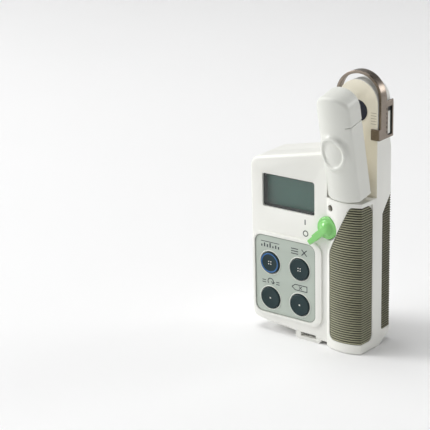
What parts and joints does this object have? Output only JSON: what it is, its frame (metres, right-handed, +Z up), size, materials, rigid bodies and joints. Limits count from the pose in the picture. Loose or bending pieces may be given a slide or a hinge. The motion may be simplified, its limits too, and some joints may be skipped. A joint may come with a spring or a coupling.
{
  "type": "handheld leaf light meter",
  "caption": "Handheld clip-on light meter with a display case, ribbed grip, sprung measuring head closing on a jaw, depth stop and four keys.",
  "frame": {"origin": "under the centre of the whole meter, on the surface it stands on", "axes": "+Z up, +Y from the display to the back, +X from the display to the grip"},
  "size_m": [0.08, 0.0505, 0.1635],
  "materials": {
    "case_plastic": "fine moulded texture",
    "head_plastic": "fine moulded texture",
    "grip_rubber": "ribbed",
    "key_rubber": "satin",
    "panel_film": "screen printed film",
    "clear_window": "clear",
    "display_glass": "liquid crystal glass",
    "black_plastic": "moulded",
    "silicone": "translucent",
    "circuit_board": "solder mask",
    "zinc_steel": "plated",
    "brass": "turned",
    "green_plastic": "gloss",
    "stop_steel": "polished, heat tinted",
    "pad_black": "soft",
    "cell_jacket": "printed sleeve",
    "lamp_lens": "clear epoxy"
  },
  "bodies": {
    "case": {"front_shell": "case_plastic", "back_shell": "case_plastic", "case_gasket": "silicone", "case_screws": "zinc_steel", "front_grip": "grip_rubber", "back_grip": "grip_rubber", "display_window": "clear_window", "display_frame": "black_plastic", "lcd_module": "display_glass", "contact_strip": "silicone", "key_panel": "panel_film", "key_membrane": "silicone", "main_board": "circuit_board", "board_screws": "zinc_steel", "buzzer": "black_plastic", "power_switch": "black_plastic", "trimmer_body": "black_plastic", "battery_tray": "black_plastic", "lower_cell": "cell_jacket", "upper_cell": "cell_jacket", "contact_springs": "zinc_steel", "contact_studs": "zinc_steel", "hinge_bracket": "zinc_steel", "hinge_pin": "zinc_steel", "head_spring": "zinc_steel", "closing_switch": "black_plastic", "emitter_pad": "pad_black", "emitter_window": "clear_window", "emitter_holder": "black_plastic", "red_lamp": "lamp_lens", "infrared_lamp": "lamp_lens"},
    "head": {"head_shell": "head_plastic", "head_cover": "head_plastic", "head_screws": "zinc_steel", "receptor_pad": "pad_black", "receptor_window": "clear_window", "photodiode": "lamp_lens", "sensor_board": "circuit_board"},
    "average_button": {"average_key": "key_rubber"},
    "clear_button": {"clear_key": "key_rubber"},
    "recall_button": {"recall_key": "key_rubber"},
    "delete_button": {"delete_key": "key_rubber"},
    "lever": {"power_lever": "green_plastic"},
    "trimmer": {"trimmer_screw": "brass"},
    "stop": {"depth_stop": "stop_steel"},
    "door": {"battery_door": "case_plastic"}
  },
  "joints": [
    {"name": "head_hinge", "type": "hinge", "parent": "case", "child": "head", "pos_m": [0.0263, 0.0031, 0.087], "axis": [-1, 0, 0], "range_deg": [0, 12.5], "stiffness_Nm_per_rad": 0.25, "springref_deg": -28.65},
    {"name": "average_key_press", "type": "slide", "parent": "case", "child": "average_button", "axis": [0, 1, 0], "range_m": [0, 0.0005], "stiffness_N_per_m": 1500, "springref_m": -0.0002},
    {"name": "clear_key_press", "type": "slide", "parent": "case", "child": "clear_button", "axis": [0, 1, 0], "range_m": [0, 0.0005], "stiffness_N_per_m": 1500, "springref_m": -0.0002},
    {"name": "recall_key_press", "type": "slide", "parent": "case", "child": "recall_button", "axis": [0, 1, 0], "range_m": [0, 0.0005], "stiffness_N_per_m": 1500, "springref_m": -0.0002},
    {"name": "delete_key_press", "type": "slide", "parent": "case", "child": "delete_button", "axis": [0, 1, 0], "range_m": [0, 0.0005], "stiffness_N_per_m": 1500, "springref_m": -0.0002},
    {"name": "lever_turn", "type": "hinge", "parent": "case", "child": "lever", "pos_m": [0.0146, -0.0059, 0.074], "axis": [0, 1, 0], "range_deg": [0, 40]},
    {"name": "trimmer_turn", "type": "hinge", "parent": "case", "child": "trimmer", "pos_m": [0.0169, -0.0027, 0.0864], "axis": [0, 1, 0], "range_deg": [-135, 135]},
    {"name": "stop_slide", "type": "slide", "parent": "case", "child": "stop", "axis": [0, 0, 1], "range_m": [-0.003, 0.003]},
    {"name": "door_slide", "type": "slide", "parent": "case", "child": "door", "axis": [-1, 0, 0], "range_m": [0, 0.014]}
  ]
}
